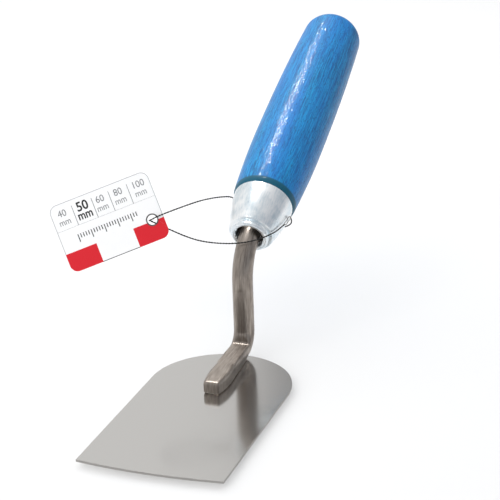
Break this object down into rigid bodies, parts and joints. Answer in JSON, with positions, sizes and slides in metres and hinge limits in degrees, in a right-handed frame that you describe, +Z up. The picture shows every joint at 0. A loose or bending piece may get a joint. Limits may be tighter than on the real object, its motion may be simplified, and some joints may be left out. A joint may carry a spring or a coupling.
{
  "type": "flat plastering trowel",
  "caption": "Small flat plasterer's trowel: narrow steel blade with a round heel, welded cranked neck, ferrule, tapered round wooden handle, and a size tag on a wire tie",
  "frame": {"origin": "middle of the blade's flat working face: half way along its length, on its centre line", "axes": "+X across the blade, +Y from the working edge towards the handle, +Z up from the blade's working face"},
  "size_m": [0.0935, 0.2095, 0.0997],
  "materials": {
    "blade_steel": "satin brushed stainless sheet",
    "forged_steel": "satin forged stainless, warm grey",
    "ferrule_zinc": "bright zinc plated, faint drawing marks",
    "blue_wood": "blue stain under gloss lacquer, fine beech grain",
    "tag_card": "printed card, semi gloss",
    "eyelet_metal": "rolled metal eyelet",
    "tie_wire": "dark twisted steel wire"
  },
  "bodies": {
    "trowel": {"blade": "blade_steel", "shank": "forged_steel", "weld_spots": "forged_steel", "ferrule": "ferrule_zinc", "handle": "blue_wood"},
    "tie": {"tie_wire": "tie_wire", "tie_eye": "tie_wire"},
    "tag": {"tag_card": "tag_card", "tag_eyelet": "eyelet_metal"}
  },
  "joints": [
    {"name": "tie_swivel", "type": "hinge", "parent": "trowel", "child": "tie", "pos_m": [0, 0.05367, 0.04239], "axis": [0, 0.9107, 0.4131], "range_deg": [-45, 35]},
    {"name": "tag_swing", "type": "hinge", "parent": "tie", "child": "tag", "pos_m": [-0.0339, 0.0471, 0.04838], "axis": [0.3239, -0.8737, 0.3629], "range_deg": [-40, 40]}
  ]
}
